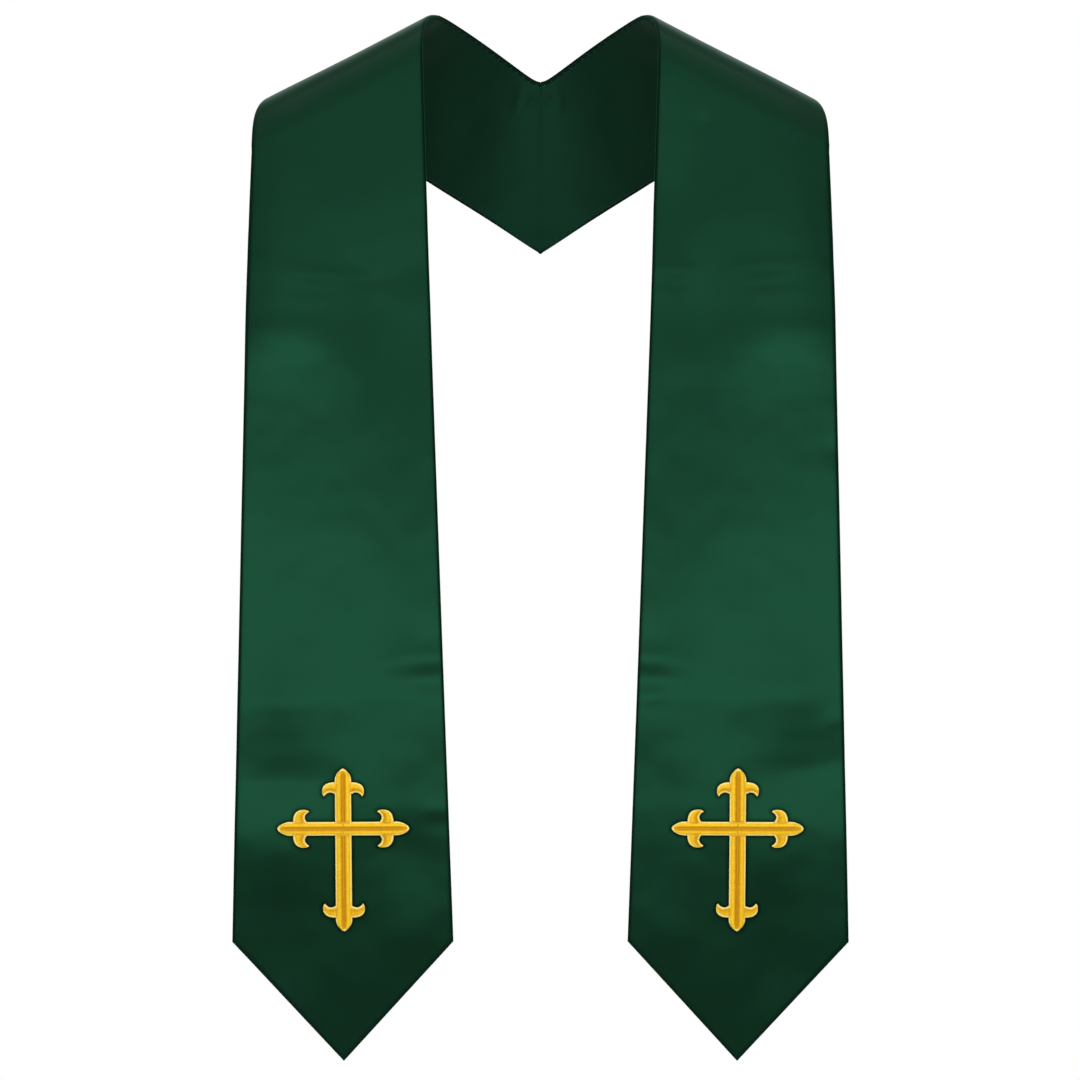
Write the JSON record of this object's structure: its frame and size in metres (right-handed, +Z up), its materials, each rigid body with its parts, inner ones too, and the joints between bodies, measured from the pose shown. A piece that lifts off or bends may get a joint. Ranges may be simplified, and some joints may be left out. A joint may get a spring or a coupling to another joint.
{
  "type": "clerical stole",
  "caption": "Green satin clerical stole as worn, with pointed ends and a raised gold cross fleury on each, lined, seamed at the centre back.",
  "frame": {"origin": "on the plane of symmetry, level with the inner ends of the shoulder crests, where the stole rests on its wearer", "axes": "+X to the wearer's left, +Y to the wearer's back, +Z up. The wearer faces -Y"},
  "size_m": [0.3732, 0.1683, 0.6387],
  "materials": {
    "green_satin": "polyester satin, soft sheen",
    "green_lining": "satin lining",
    "gold_embroidery": "padded satin stitch in gold thread"
  },
  "bodies": {
    "root": {"outer_left": "green_satin", "outer_right": "green_satin", "lining_left": "green_lining", "lining_right": "green_lining", "cross_left": "gold_embroidery", "cross_right": "gold_embroidery"}
  },
  "joints": []
}
